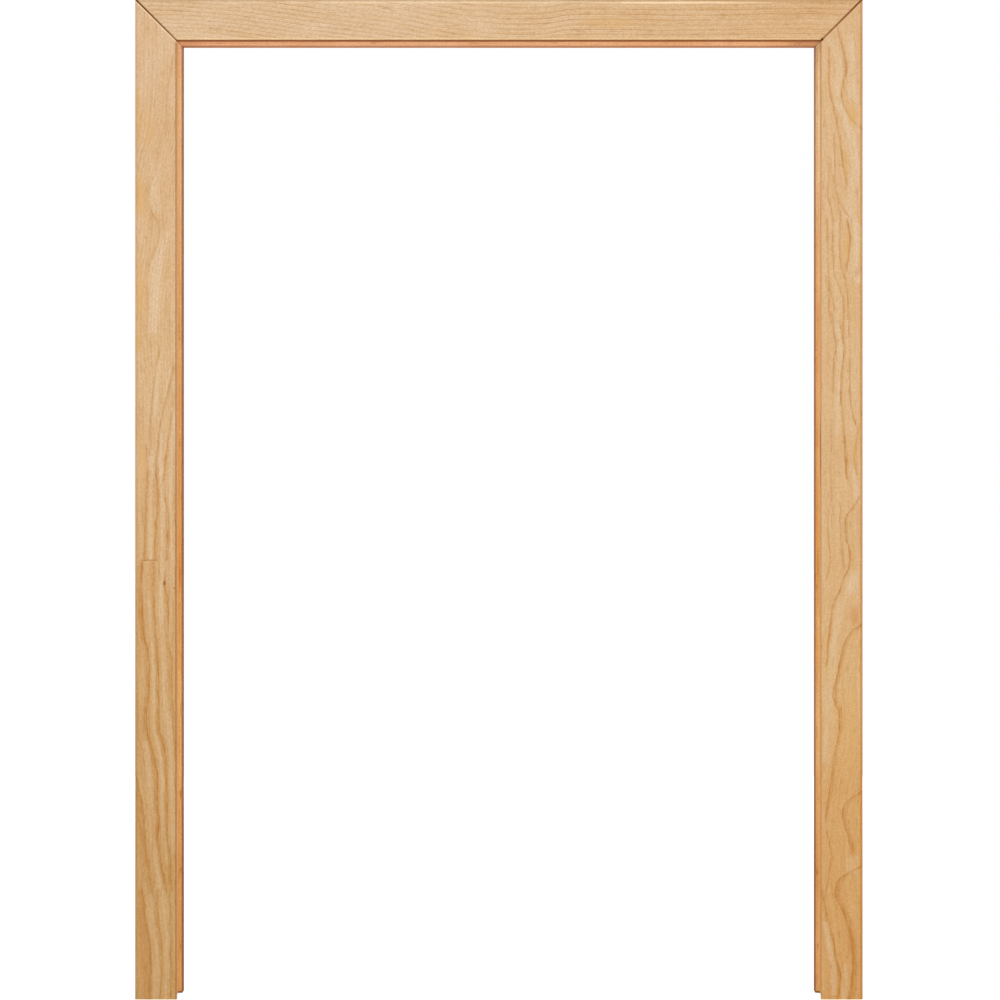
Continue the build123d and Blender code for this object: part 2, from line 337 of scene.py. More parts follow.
def pine(name, node, lie, seed, tones, rings, lean=((0.0, 0.0), (1.0, 0.0)),
         lines=((0.0, 0.5), (1.0, 0.5)), drawn=(), pale=(), late_tone="#e0be88", fine=0.35,
         fleck=0.34, spots=(), joints=(), arris_shade_and_highlight=(), side_shade=None, stop_arris_shade=0.0, foot=None, mitre=None):
    """Sanded, unfinished pine: soft pale earlywood, with browner latewood lines where the growth
    rings reach the surface. The fibres run along the board, and the resin ducts show as short
    brown dashes. Open fibres scatter the light, so it has next to no shine.

    The tones, the grain's lean and the strength of its lines are given along the board. Drawn lines
    and pale zones follow their own paths. Fine is the strength of the narrow rings, and fleck that
    of single fibres. The rest are marks on the board, each explained where it is added.
    """
    material = new_material(name)
    tree = material.node_tree
    low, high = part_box(node)
    axes = [Vector(axis) for axis in lie]
    grain_axis = axes[2]
    half_depth = abs((high - low).dot(axes[1])) / 2
    half_length = abs((high - low).dot(grain_axis)) / 2
    length_mm = 2 * half_length / MM

    # The place on the board: across its face, into it, and along it from -half_length
    here = add(tree, "ShaderNodeTexCoord", {}, "Object")
    board = add(tree, "ShaderNodeMapping",
                {"Vector": here, "Location": (low + high) / 2,
                 "Rotation": Matrix(axes).transposed().to_euler()}, vector_type="TEXTURE")
    across, into, along = add(tree, "ShaderNodeSeparateXYZ", {0: board}).node.outputs
    height = add(tree, "ShaderNodeMath", {0: along, 1: half_length}, operation="ADD")
    share = add(tree, "ShaderNodeMath", {0: height, 1: 0.5 / half_length}, operation="MULTIPLY")

    # How far the grain leans across the board, at the heights given
    lean_points = [(place, 0.5 + shift / LEAN_SPAN) for place, shift in shares(lean, length_mm)]
    lean_curve = curve_points(add(tree, "ShaderNodeFloatCurve", {"Value": share}), lean_points)
    shift = add(tree, "ShaderNodeMath", {0: lean_curve, 1: -LEAN_SPAN * MM, 2: 0.5 * LEAN_SPAN * MM},
                operation="MULTIPLY_ADD")
    # Wobble of the rings, over about 40 mm across and 90 mm along
    bent = add(tree, "ShaderNodeVectorMath", {0: board, 1: (1 / 0.040, 1 / 0.040, 1 / 0.090)},
               operation="MULTIPLY")
    wobble = add(tree, "ShaderNodeTexNoise",
                 {"Vector": bent, "W": seed, "Scale": 1.0, "Detail": 2.0, "Roughness": 0.5},
                 "Color", noise_dimensions="4D")
    wobble = add(tree, "ShaderNodeVectorMath", {0: wobble, 1: (-0.5, -0.5, -0.5)}, operation="ADD")
    wobble = add(tree, "ShaderNodeVectorMath",
                 {0: wobble, 1: (rings["wobble"] * MM, 0.2 * rings["wobble"] * MM, 0.0)},
                 operation="MULTIPLY")
    leaned = add(tree, "ShaderNodeCombineXYZ", {"X": shift})
    leaned = add(tree, "ShaderNodeVectorMath", {0: leaned, 1: board}, operation="ADD")
    leaned = add(tree, "ShaderNodeVectorMath", {0: leaned, 1: wobble}, operation="ADD")
    grain = growth_lines(tree, leaned, share, length_mm, bent, seed, rings, lines, fine)
    if drawn or pale:
        # Each drawn line wavers by about 1 mm, over 8 mm across and 22 mm along
        waver = fibre_noise(tree, board, 8.0, 22.0, seed + 6.0, 1.0)
        shaken = add(tree, "ShaderNodeVectorMath", {0: board, 1: wobble}, operation="ADD")
        shaken = add(tree, "ShaderNodeSeparateXYZ", {0: shaken})
        shaken = add(tree, "ShaderNodeMath", {0: waver, 1: LINE_WAVER * MM, 2: shaken},
                     operation="MULTIPLY_ADD")
        shaken = add(tree, "ShaderNodeMath", {0: shaken, 1: -LINE_WAVER / 2 * MM}, operation="ADD")
        # Fibres 2.5 mm across and 24 mm long break the lines into finer ones
        broken = vary(tree, fibre_noise(tree, leaned, 2.5, 24.0, seed + 7.0, 1.0), LINE_BREAK)
        for line in drawn:
            line = drawn_line(tree, shaken, share, length_mm, line)
            line = add(tree, "ShaderNodeMath", {0: line, 1: broken}, operation="MULTIPLY")
            grain = add(tree, "ShaderNodeMath", {0: grain, 1: line}, operation="MAXIMUM")

    # The board's tone, which changes along its length. On some boards it holds painted light and shade, as
    # said where their tones are given
    colour = ramp_stops(add(tree, "ShaderNodeValToRGB", {"Fac": share}), tones)
    for line in pale:
        zone = drawn_line(tree, shaken, share, length_mm, line, pale=True)
        colour = toward(tree, zone, colour, SAPWOOD)
    colour = toward(tree, grain, colour, late_tone, "MULTIPLY")

    # Patches where light and dark wood grow together: about 16 mm across and 100 mm along
    patches = vary(tree, fibre_noise(tree, leaned, 16.0, 100.0, seed + 3.0, 2.0), PATCH_DEPTH)
    # Streaks of fibre: bundles of 5 mm across and 60 mm long
    streaks = vary(tree, fibre_noise(tree, leaned, 5.0, 60.0, seed + 1.0, 2.0), STREAK_DEPTH)
    patches = add(tree, "ShaderNodeMath", {0: patches, 1: streaks}, operation="MULTIPLY")
    # Fibres are 0.04 mm across, too fine to show, so they are drawn 2.4 mm across and 4 mm long
    fibres = fibre_noise(tree, board, 2.4, 4.0, seed + 2.0, 2.0, 0.6)
    shade = tinted(tree, vary(tree, fibres, fleck), FIBRE_TINT)
    colour = add(tree, "ShaderNodeVectorMath", {0: colour, 1: shade}, operation="MULTIPLY")
    colour = add(tree, "ShaderNodeVectorMath", {0: colour, 1: tinted(tree, patches, PATCH_TINT)},
                 operation="MULTIPLY")
    # Resin ducts are 0.2 mm wide, so their dashes are drawn 1.5 mm wide and 12 mm long. They are
    # the peaks of a noise of 2.8 by 22 mm.
    ducts = add(tree, "ShaderNodeMapRange",
                {"Value": fibre_noise(tree, leaned, 2.8, 22.0, seed + 5.0, 0.0),
                 "From Min": 0.66, "From Max": 0.80, "To Min": 0.0, "To Max": 0.3})
    colour = toward(tree, ducts, colour, DUCT)

    # Finger joints: where the glue line of one finger reaches the face, as height, from and to
    for joint_height, joint_from, joint_to in joints:
        line = band(tree, height, joint_height * MM, GLUE_HALF_WIDTH * MM, 0.5)
        side = band(tree, across, (joint_from + joint_to) / 2 * MM, (joint_to - joint_from) * MM, 1.0)
        line = add(tree, "ShaderNodeMath", {0: line, 1: side}, operation="MULTIPLY")
        colour = toward(tree, line, colour, GLUE_LINE)

    # Lines along the arris next to the doorway: a dark one, painted shade along the edge, and a pale
    # one, a painted highlight
    for place, half_width, tone, strength in arris_shade_and_highlight:
        colour = toward(tree, band(tree, across, place * MM, half_width * MM, strength), colour, tone)
    # Past a step across the board, toward the side given, the tone is multiplied by a darker one:
    # painted shade, on the right leg's outer bevel and on a stop's broad face toward the doorway
    if side_shade:
        side, step, tone = side_shade
        past = add(tree, "ShaderNodeMath", {0: across, 1: side}, operation="MULTIPLY")
        past = add(tree, "ShaderNodeMath", {0: past, 1: step * MM}, operation="GREATER_THAN")
        colour = toward(tree, past, colour, tone, "MULTIPLY")
    # Painted shade browns a stop's arris toward the opening
    if stop_arris_shade:
        near = add(tree, "ShaderNodeMapRange",
                   {"Value": into, "From Min": -half_depth, "From Max": -half_depth + ARRIS_SHADE_REACH * MM,
                    "To Min": stop_arris_shade, "To Max": 0.0})
        colour = toward(tree, near, colour, ARRIS_SHADE_TONE, "MULTIPLY")
    # Painted shade darkens the sawn foot
    if foot:
        near = add(tree, "ShaderNodeMapRange",
                   {"Value": height, "From Min": FOOT_SHADE_HEIGHT * MM, "From Max": FOOT_SHADE_END * MM,
                    "To Min": 0.85, "To Max": 0.0})
        colour = toward(tree, near, colour, foot)
    if mitre:
        colour = add_mitre(tree, colour, here, *mitre)

    # Patches and knots, with edges as ragged as the streaks of fibre
    ragged = add(tree, "ShaderNodeMath", {0: streaks, 1: RAGGEDNESS, 2: -RAGGEDNESS},
                 operation="MULTIPLY_ADD")
    colour = add_spots(tree, colour, board, ragged, half_length, spots)

    # End grain drinks in more light and dust, so the cut ends are darker
    normal = add(tree, "ShaderNodeNewGeometry", {}, "Normal")
    end_grain = add(tree, "ShaderNodeVectorMath", {0: normal, 1: grain_axis}, "Value",
                    operation="DOT_PRODUCT")
    end_grain = add(tree, "ShaderNodeMath", {0: end_grain}, operation="ABSOLUTE")
    end_grain = add(tree, "ShaderNodeMapRange",
                    {"Value": end_grain, "From Min": 0.35, "From Max": 1.0, "To Min": 0.0, "To Max": 0.6})
    colour = toward(tree, end_grain, colour, END_GRAIN)

    # Planing and sanding leave the hard late wood a little proud and a little smoother
    relief = add(tree, "ShaderNodeMath", {0: grain, 1: 0.5, 2: fibres}, operation="MULTIPLY_ADD")
    bump = add(tree, "ShaderNodeBump",
               {"Height": relief, "Strength": 0.5, "Distance": WOOD_RELIEF * MM})
    dull = add(tree, "ShaderNodeMath",
               {0: grain, 1: LATE_ROUGHNESS - EARLY_ROUGHNESS, 2: EARLY_ROUGHNESS},
               operation="MULTIPLY_ADD")
    shader = add(tree, "ShaderNodeBsdfPrincipled",
                 {"Base Color": colour, "Roughness": dull, "IOR": WOOD_IOR,
                  "Specular IOR Level": WOOD_SHINE, "Normal": bump})
    finish_material(tree, shader)
    return material


# Boards, each cut from its own plank, so each has its own lines. Places up a leg, or from the
# left along a head board, are in millimetres from the end.

# The lines and pale zones on the front legs: core width, soft side, strength, and points of height
# and place across
LEFT_LEG_LINES = [
    (2.4, 8.6, 0.32, [(1741, -0.5), (1756, 0.7), (1786, 4), (1816, 5.2), (1850, 10.8), (1884, 22),
          (1936, 23.2), (1970, 27.7), (2013, 34.4), (2028, 36.1)]),
    (1.9, 4.3, 0.18, [(1874, 0.2), (1889, 0.7), (1959, 4), (2030, 5.2), (2045, 5.3)]),
    (1.9, 4.3, 0.2, [(1848, 11.5), (1863, 11.9), (1949, 15.3), (2034, 18.7), (2049, 19.1)]),
    (1.9, 4.3, 0.16, [(1912, 16.1), (1927, 17.5), (1970, 23.2), (2021, 27.7), (2036, 28.6)]),
    (3.2, -17.4, 0.37, [(1674, -8.5), (1689, -10.6), (1713, -15.1), (1734, -12.8), (1756, -7.2),
          (1777, 1.8), (1816, 5.2), (1831, 6.1)]),
    (3.8, -10.1, 0.48, [(1582, -9), (1597, -4.9), (1621, 4), (1642, 8.5), (1661, 7.4), (1674, -0.4),
          (1687, -8.3), (1702, -14.9)]),
    (2.6, -17.4, 0.32, [(1430, -17.6), (1445, -17.3), (1490, -16.2), (1529, -17.3), (1567, -13.9),
          (1593, -7.2), (1608, -4.4)]),
    (2.1, 5.8, 0.3, [(1411, 17.1), (1426, 17.5), (1499, 20.9), (1584, 20.9), (1657, 16.4), (1672, 15.8)]),
    (2.1, 5.8, 0.26, [(1419, 27.7), (1434, 27.7), (1541, 27.7), (1627, 29.9), (1642, 30.2)]),
    (2.6, 7.3, 0.53, [(1158, -12.9), (1173, -12.8), (1231, -12.4), (1284, -8.3), (1319, -4.7),
          (1353, -0.2), (1387, 6.3), (1402, 8.3)]),
    (2.6, 8.6, 0.65, [(935, -1.6), (950, -1.6), (1019, -1.6), (1044, 2.5), (1074, 3.4), (1130, -0.2),
          (1190, 4.7), (1246, 11.9), (1289, 22.3), (1317, 28.8), (1353, 36.7), (1368, 39)]),
    (2.6, 7.3, 0.59, [(935, 22.5), (950, 23.2), (984, 25.4), (1027, 27.2), (1062, 20.5), (1096, 14.8),
          (1134, 18.7), (1177, 23.2), (1231, 29.9), (1289, 38.9), (1304, 40.6)]),
    (2.6, 7.3, 0.59, [(931, -24.1), (946, -24.1), (984, -24.1), (1070, -20.7), (1113, -19.6),
          (1182, -21.8), (1197, -22.2)]),
    (2.6, 5.8, 0.55, [(862, 40.9), (877, 41.2), (942, 42.5), (1006, 42.5), (1074, 38.9), (1089, 38.4)]),
    (3.2, -13, 0.7, [(224, 25), (239, 23.2), (265, 18.7), (286, 13), (316, 9.7), (350, 5.6), (380, 6.5),
          (423, 2.9), (475, 4.3), (513, -2.5), (543, -8.3), (565, -15.5), (603, -20), (629, -17.8),
          (663, -14.4), (719, -15.1), (779, -22.5), (830, -28.6), (890, -30.8), (931, -28.6), (946, -28)]),
    (3, -11.6, 0.6, [(224, 34.5), (239, 34), (307, 30.8), (359, 24.5), (415, 25), (457, 25), (509, 22),
          (552, 15.5), (603, 7), (650, 7), (719, 5.2), (779, 0.7), (856, -3.4), (931, -3.8), (946, -3.9)]),
    (2.6, -7.3, 0.55, [(502, 41.1), (517, 40.7), (586, 38.5), (637, 36.2), (727, 34), (779, 28.8),
          (847, 26.5), (886, 18.7), (901, 16.5)]),
    (3.2, -23.1, 0.65, [(224, -6.6), (239, -7.9), (282, -12.8), (312, -18.2), (350, -22.3), (389, -25.2),
          (436, -33.5), (479, -41.2), (494, -43.1)]),
    (3.2, -26.1, 0.65, [(0, -12.3), (31, -10.6), (85, -9.7), (127, -13.7), (166, -20), (202, -24.5),
          (228, -26.8), (243, -27.7)]),
    (2.6, -8.6, 0.55, [(0, 7.7), (80, 13.3), (136, 12.4), (170, 4.7), (228, 4.7), (243, 4.7)]),
    (2.6, 7.3, 0.5, [(0, 33.6), (63, 33.1), (149, 30.8), (228, 28.6), (243, 28.3)]),
]
LEFT_LEG_PALE = [
    (15, 15, 0.5, [(1681, 1.7), (1696, 0.2), (1734, -5.4), (1786, 0.2), (1801, 1.3)]),
    (17, 17, 0.48, [(1419, -3.6), (1434, -3.3), (1541, -1.1), (1595, 6.8), (1636, 19.2), (1651, 22.4)]),
    (7, 7, 0.4, [(1216, -5.1), (1231, -4.3), (1306, 1.6), (1379, 10.8), (1394, 12.2)]),
    (7, 7, 0.45, [(800, 12), (880, 12.6), (946, 14.6), (1059, 14.2), (1113, 12.8), (1164, 8.8),
          (1220, 11.9), (1284, 19.8), (1344, 31), (1359, 33.1)]),
    (6.2, 6.2, 0.43, [(931, -12), (946, -11.9), (1059, -11.5), (1113, -8.3), (1167, -9.2), (1182, -9.4)]),
    (5.6, 5.6, 0.37, [(760, 30.5), (860, 33), (946, 34), (1092, 32.2), (1177, 34.4), (1263, 38.9),
          (1278, 39.5)]),
    (8.5, 8.5, 0.29, [(305, 39.4), (320, 38.9), (427, 34.4), (513, 33.3), (567, 28.6), (616, 23.2),
          (663, 20.9), (719, 18.7), (813, 14.2), (886, 10.8), (901, 10.3)]),
    (7, 7, 0.24, [(284, 22.9), (299, 21.8), (359, 15.5), (423, 13.3), (475, 14.6), (513, 10.6),
          (552, 3.8), (599, -5.2), (629, -4.7), (684, -4.3), (749, -6.1), (856, -13.3), (871, -14)]),
    (10.6, 10.6, 0.2, [(232, 9.1), (247, 7.4), (290, 0.7), (331, -5.2), (380, -9.2), (423, -11),
          (470, -15.1), (545, -21.8), (560, -22.8)]),
    (8.5, 8.5, 0.26, [(0, -1), (74, 2), (117, 0.2), (160, -6.5), (213, -9.7), (228, -10.3)]),
    (7, 7, 0.26, [(0, 22.1), (106, 23.6), (149, 21.4), (222, 16.4), (237, 15.7)]),
]
RIGHT_LEG_LINES = [
    (3.5, 6.9, 0.61, [(1850, 53.5), (1865, 41.1), (1876, 28.8), (1891, 16.5), (1912, 5.3), (1934, -0.4),
          (1957, 1.2), (1991, 6.2), (2021, 3.3), (2056, -4.1), (2090, -11.3), (2105, -13.6)]),
    (2.4, 6.3, 0.7, [(1736, 10.2), (1751, 8.2), (1786, 2.1), (1816, -2.1), (1850, -6.6), (1899, -16.5),
          (1925, -22.6), (1953, -28), (2030, -28.8), (2045, -28.9)]),
    (2.1, 5.8, 0.54, [(1664, 19.5), (1679, 12.3), (1700, -2.1), (1719, -9.5), (1743, -14.4),
          (1799, -16.5), (1850, -17.7), (1865, -17.9)]),
    (2.1, 5.8, 0.54, [(1659, -15.6), (1674, -18.5), (1709, -28), (1730, -32.1), (1745, -34.1)]),
    (2.4, -7.6, 0.76, [(1556, 10), (1571, 11.5), (1610, 16.9), (1636, 17.3), (1661, 13.6), (1676, 12)]),
    (2.1, 5.8, 0.49, [(1466, -15.7), (1481, -17.7), (1520, -24.7), (1550, -30), (1565, -31.9)]),
    (2.4, 5.8, 0.7, [(1291, -19.5), (1306, -19.3), (1370, -18.5), (1404, -13.6), (1430, -18.9),
          (1460, -21.6), (1475, -22.6)]),
    (2.4, 6.3, 0.76, [(1205, 3.3), (1220, 2.5), (1252, 0), (1302, -2.5), (1353, -0.4), (1391, 3.3),
          (1443, -3.3), (1458, -4.7)]),
    (3.2, 7.6, 0.81, [(1109, 10.6), (1124, 9.9), (1160, 7.4), (1190, 4.9), (1220, 2.5), (1235, 1.6)]),
    (2.1, 5.8, 0.65, [(1218, 32.4), (1233, 28.8), (1259, 20.2), (1289, 17.7), (1366, 15.2), (1381, 14.9)]),
    (2.1, 5.8, 0.48, [(892, -34.9), (907, -32.9), (948, -25.5), (972, -28.8), (1019, -32.1), (1053, -28),
          (1074, -23.9), (1130, -25.5), (1177, -25.1), (1233, -23), (1248, -22.6)]),
    (2.6, 8.6, 0.6, [(1115, 31.7), (1130, 30), (1156, 25.9), (1186, 28.8), (1220, 32.9), (1235, 34.2)]),
    (2.6, 6.9, 0.66, [(704, -34.8), (719, -33.7), (770, -28.8), (813, -24.3), (847, -18.5), (877, -4.9),
          (905, 3.7), (929, 14.4), (952, 16), (984, 9), (1023, 7), (1047, 17.7), (1070, 32.9),
          (1085, 39.8)]),
    (2.1, 5.8, 0.55, [(914, 5), (929, 3.7), (984, -3.3), (1053, -4.1), (1068, -4.2)]),
    (4.2, 11.6, 0.76, [(562, -7.1), (577, -6.6), (603, -5.3), (629, -12.8), (655, -17.7), (680, -13.2),
          (706, -7.4), (736, -2.1), (766, 6.6), (789, 20.6), (804, 43.2), (819, 59.4)]),
    (3, 8.6, 0.66, [(374, -38), (389, -36.2), (419, -31.3), (457, -25.5), (492, -21), (530, -14.8),
          (577, -6.6), (592, -4.7)]),
    (3.8, 14.4, 0.62, [(310, 21.1), (325, 18.5), (350, 12.3), (372, 5.8), (397, 1.6), (417, 6.2),
          (430, 17.3), (442, 37), (457, 53.5)]),
    (2.1, 4.6, 0.57, [(292, -17.7), (307, -20.6), (333, -27.6), (355, -32.1), (370, -34.3)]),
    (2.4, 5.8, 0.47, [(202, -37.8), (217, -36.2), (260, -29.6), (303, -22.6), (318, -20.9)]),
    (4, 17.4, 0.62, [(134, 18.6), (149, 15.2), (175, 7), (205, -5.3), (230, -12.8), (256, -5.3),
          (271, 12.3), (286, 41.1), (301, 61.7)]),
    (6.4, 14.4, 0.71, [(0, 15.4), (42, 21.4), (76, 23.9), (106, 22.6), (136, 18.1), (162, 12.3),
          (177, 9.9)]),
    (2.6, -8.6, 0.52, [(108, -16.3), (123, -18.5), (149, -23.9), (181, -32.1), (228, -40.3), (243, -42.2)]),
    (3.2, -8.6, 0.81, [(0, -8.4), (20, -4.9), (46, -3.3), (72, -7.4), (97, -13.2), (127, -19.3),
          (142, -21.5)]),
    (2.1, 5.2, 0.5, [(1668, -22), (1676, -23), (1713, -25.1), (1743, -29.2), (1786, -27.1), (1800, -26)]),
    (2.1, 5.2, 0.5, [(1668, -2), (1676, -4.1), (1721, -10.3), (1760, -18.5), (1775, -21)]),
    (2.4, 5.8, 0.52, [(1415, 1), (1428, 2.1), (1477, 4.1), (1520, -4.1), (1571, -18.5), (1627, -20.6),
          (1674, -20.6), (1680, -20.6)]),
    (2.4, 6.3, 0.52, [(1415, 14.8), (1434, 14.4), (1498, 12.3), (1541, 6.2), (1588, -4.1), (1638, -6.2),
          (1674, -4.1), (1680, -3.8)]),
    (2.1, 5.2, 0.5, [(1400, -21), (1428, -22.6), (1498, -28.8), (1584, -30.9), (1674, -31.9),
          (1680, -32)]),
]
RIGHT_LEG_PALE = [
    (10.6, 10.6, 0.54, [(1929, -10.9), (1944, -10.3), (1991, -7.4), (2047, -16.5), (2062, -18.2)]),
    (13, 13, 0.54, [(1925, 20.6), (1940, 20.6), (1991, 20.6), (2056, 16.5), (2071, 15.8)]),
    (13, 13, 0.62, [(1788, 31.1), (1803, 28.8), (1841, 20.6), (1880, 10.3), (1919, -8.2),
          (1934, -13.4)]),
    (15, 15, 0.5, [(1526, 38.1), (1541, 34.4), (1567, 25.3), (1593, 25.3), (1616, 32.3), (1640, 34.4),
          (1664, 26.1), (1683, 17.9), (1704, 19.1), (1730, 24.1), (1756, 24.9), (1786, 34.4),
          (1801, 37.7)]),
    (10, 10, 0.42, [(1205, -12.6), (1220, -12.3), (1306, -10.3), (1381, -7), (1439, -9.5), (1454, -9.9)]),
    (10.6, 10.6, 0.46, [(1059, 34.4), (1074, 32.9), (1104, 28.8), (1134, 22.6), (1149, 20.4)]),
    (11.8, 11.8, 0.27, [(498, -35.6), (513, -35), (577, -30.9), (642, -30), (684, -25.9), (744, -18.5),
          (792, -12.3), (830, -4.1), (856, 3.3), (882, 18.5), (912, 28.8), (927, 32.5)]),
    (16.5, 16.5, 0.22, [(260, 26.7), (275, 22.6), (286, 18.5), (299, 22.6), (314, 26.1)]),
    (8.5, 8.5, 0.36, [(5, -15.9), (20, -16.5), (74, -19.3), (117, -28), (157, -34.1), (172, -35.8)]),
    (8, 8, 0.26, [(0, 3.5), (31, 6.2), (67, 6.2), (82, 6.2)]),
    (6, 6, 0.35, [(1415, -10), (1434, -9), (1500, -11), (1571, -12), (1650, -13), (1674, -13)]),
    (8, 8, 0.3, [(1205, 20), (1240, 21), (1300, 24), (1366, 25), (1420, 27), (1440, 28)]),
]

# The casings' tones, like the right leg's below, darken toward the foot: painted shade
casing_tones = [(0.0, "#cca36d"), (0.2, "#cfa671"), (0.33, "#d1a874"), (0.45, "#d5ac7b"),
                (0.6, "#dbb88e"), (0.7, "#dcb98f"), (0.8, "#d9b58b"), (1.0, "#dab893")]
casing_rings = {"width": 10.8, "angle": 30.0, "pith": 500.0, "phase": 0.25, "wobble": 5.0,
                "narrow": 3.0, "profile": BROAD_LINE}

left_leg = pine(
    "sanded_pine_left_leg", "casing_front_left", UPRIGHT_FACING_FRONT, 1.3, casing_tones,
    casing_rings,
    lean=[(0, 58), (55, 57), (98, 55), (142, 50.6), (181, 46), (230, 42), (269, 46), (305, 42),
          (361, 42), (427, 34), (483, 26), (526, 22), (571, 11), (680, 9), (725, 6.6), (813, 0),
          (938, -4), (944, 4), (1070, 2), (1300, -4), (1450, -8), (1520, -4), (1584, 7), (1646, 16),
          (1683, 17), (1726, 12), (1777, 19), (1820, 29), (1850, 38), (1882, 43), (1908, 46),
          (2143, 50)],
    lines=[(0, 0.2), (938, 0.2), (1250, 0.15), (1400, 0.1), (2143, 0.1)],
    drawn=LEFT_LEG_LINES, pale=LEFT_LEG_PALE,
    spots=[(PIN_KNOT, 0.7, 18.5, None, 892, 3.5, 7), (PIN_KNOT, 0.55, 39, None, 881, 3, 4),
           (RESINOUS, 0.22, -32, None, 110, 12, 170), (RESINOUS, 0.15, -34, None, 800, 9, 120),
           (GOLDEN, 0.5, -34, None, 1722, 12, 66), (GOLDEN, 0.35, -38, None, 1900, 9, 80),
           (GOLDEN, 0.4, -34, None, 1520, 13, 90), (GOLDEN, 0.45, -40, None, 1408, 8, 30),
           (GOLDEN, 0.25, -14, None, 1862, 16, 60), (GOLDEN, 0.3, -30, None, 1150, 12, 90),
           (PIN_KNOT, 0.25, -35, None, 1644, 3, 6), (PIN_KNOT, 0.22, -22, None, 1632, 3, 5),
           (PIN_KNOT, 0.2, -12, None, 1652, 2.5, 5), (PIN_KNOT, 0.15, -30, None, 2092, 4, 7),
           (PIN_KNOT, 0.12, -17, None, 2080, 4, 5)],
    # Along the arris next to the doorway: a painted shadow line, and a painted highlight over the side face
    joints=[(941, -27, -4)], arris_shade_and_highlight=[(43.1, 1.3, "#a06a30", 0.9), (45.3, 0.9, "#ffc88c", 0.9)],
    # Beside the mitre's dark line, a painted highlight
    mitre=(1.9, "#642a00", 0.6))
right_leg = pine(
    "sanded_pine_right_leg", "casing_front_right", UPRIGHT_FACING_FRONT, 4.1,
    [(0.0, "#d5a56a"), (0.2, "#d8a970"), (0.3, "#dcb37e"), (0.42, "#dcb484"), (0.7, "#ddb789"),
     (1.0, "#ddb88d")],
    {"width": 5.5, "angle": 17.0, "pith": 300.0, "phase": 0.0, "wobble": 4.0, "narrow": 1.4,
     "profile": BROAD_LINE},
    lean=[(0, -20), (184, -40), (277, -50), (440, -44), (567, -21), (700, -26), (860, 6), (1150, 6),
          (1350, 12), (1700, 6), (1890, -14), (2143, -36)],
    lines=[(0, 0.12), (2143, 0.12)], fine=0.15, drawn=RIGHT_LEG_LINES, pale=RIGHT_LEG_PALE,
    spots=[(GOLDEN, 0.5, 23, None, 1896, 17, 30), (GOLDEN, 0.45, 7, None, 1790, 7, 40),
           (GOLDEN, 0.5, 10, None, 1614, 8, 36), (RESINOUS, 0.3, 32, None, 1730, 6, 14),
           (RESINOUS, 0.3, 33, None, 1558, 7, 14), (RESINOUS, 0.35, 27, None, 822, 13, 26),
           (SAPWOOD, 0.45, 21, None, 890, 18, 30), (GOLDEN, 0.35, 28, None, 1172, 8, 36),
           (RESINOUS, 0.35, 23, None, 322, 9, 24), (RESINOUS, 0.35, 19, None, 120, 9, 40),
           (GOLDEN, 0.2, 16, None, 560, 24, 120), (GOLDEN, 0.25, -32, None, 1980, 6, 60),
           # A painted shadow in the inner corner of the mitre
           (CORNER_SHADOW, 0.95, -42.8, None, 2056.9, 4.2, 4.8)],
    # A painted shade on the outer bevel, and a faint painted highlight beside the mitre
    side_shade=(1, 38.9, "#f8e2c6"), mitre=(2.2, "#8c4000", 0.1))
head_board = pine(
    "sanded_pine_head", "casing_front_head", LEVEL_FACING_FRONT, 2.6,
    [(0.0, "#dcbe9b"), (0.4, "#dfc09c"), (0.7, "#ddbb92"), (1.0, "#dcb68a")],
    {"width": 3.4, "angle": 20.0, "pith": 900.0, "phase": 0.0, "wobble": 3.0, "narrow": 2.3,
     "profile": THIN_LINE},
    lean=[(0, -45), (137, -41), (351, -15), (566, 13), (673, 32), (758, 42), (823, 45), (876, 44),
          (930, 36), (962, 35), (1200, 37), (1400, 34), (1559, 37)],
    lines=[(0.0, 0.65), (1.0, 0.72)], fine=0.45, fleck=0.38,
    spots=[(BRIGHT, 0.75, -35.8, None, 1170, 3.2, 240), (BRIGHT, 0.4, -36.4, None, 620, 3, 480),
           (RESINOUS, 0.15, -14, None, 1440, 12, 90), (GOLDEN, 0.3, 6, None, 1010, 14, 70),
           # A painted shadow in the inner corner of the mitre
           (CORNER_SHADOW, 0.95, 42.6, None, 1471.7, 4.2, 4.8)],
    # Along the arris next to the doorway: a painted highlight and a painted shadow line; beside the mitres,
    # a painted highlight
    arris_shade_and_highlight=[(41.2, 2.4, "#ffd9a0", 0.4), (44.6, 1.5, "#7c3c04", 0.75)], mitre=(1.6, "#6a3002", 0.35))

stop_rings = {"width": 5.0, "angle": 35.0, "pith": 120.0, "phase": 0.0, "wobble": 4.0, "narrow": 2.7,
              "profile": BROAD_LINE}
jamb_rings = {"width": 5.0, "angle": 24.0, "pith": 150.0, "phase": 0.0, "wobble": 8.0, "narrow": 2.7,
              "profile": BROAD_LINE}
boards = {
    "casing_front_left": left_leg,
    "casing_front_right": right_leg,
    "casing_front_head": head_board,
}
for node, lie, seed in (("casing_back_left", UPRIGHT_FACING_FRONT, 11.2),
                        ("casing_back_right", UPRIGHT_FACING_FRONT, 12.7),
                        ("casing_back_head", LEVEL_FACING_FRONT, 13.9)):
    boards[node] = pine("sanded_pine_" + node, node, lie, seed, casing_tones, casing_rings,
                        lean=[(0.0, 0.0), (0.3, 15.0), (0.6, -8.0), (1.0, 6.0)],
                        mitre=(0.9, "#6a401c", 0.0))

# The right jamb has a painted shadow at its front edge, for the shade in an open joint
jamb_spots = {"jamb_right": [(SLIT_SHADOW, 0.9, 54, None, 1170, 24, 96)]}
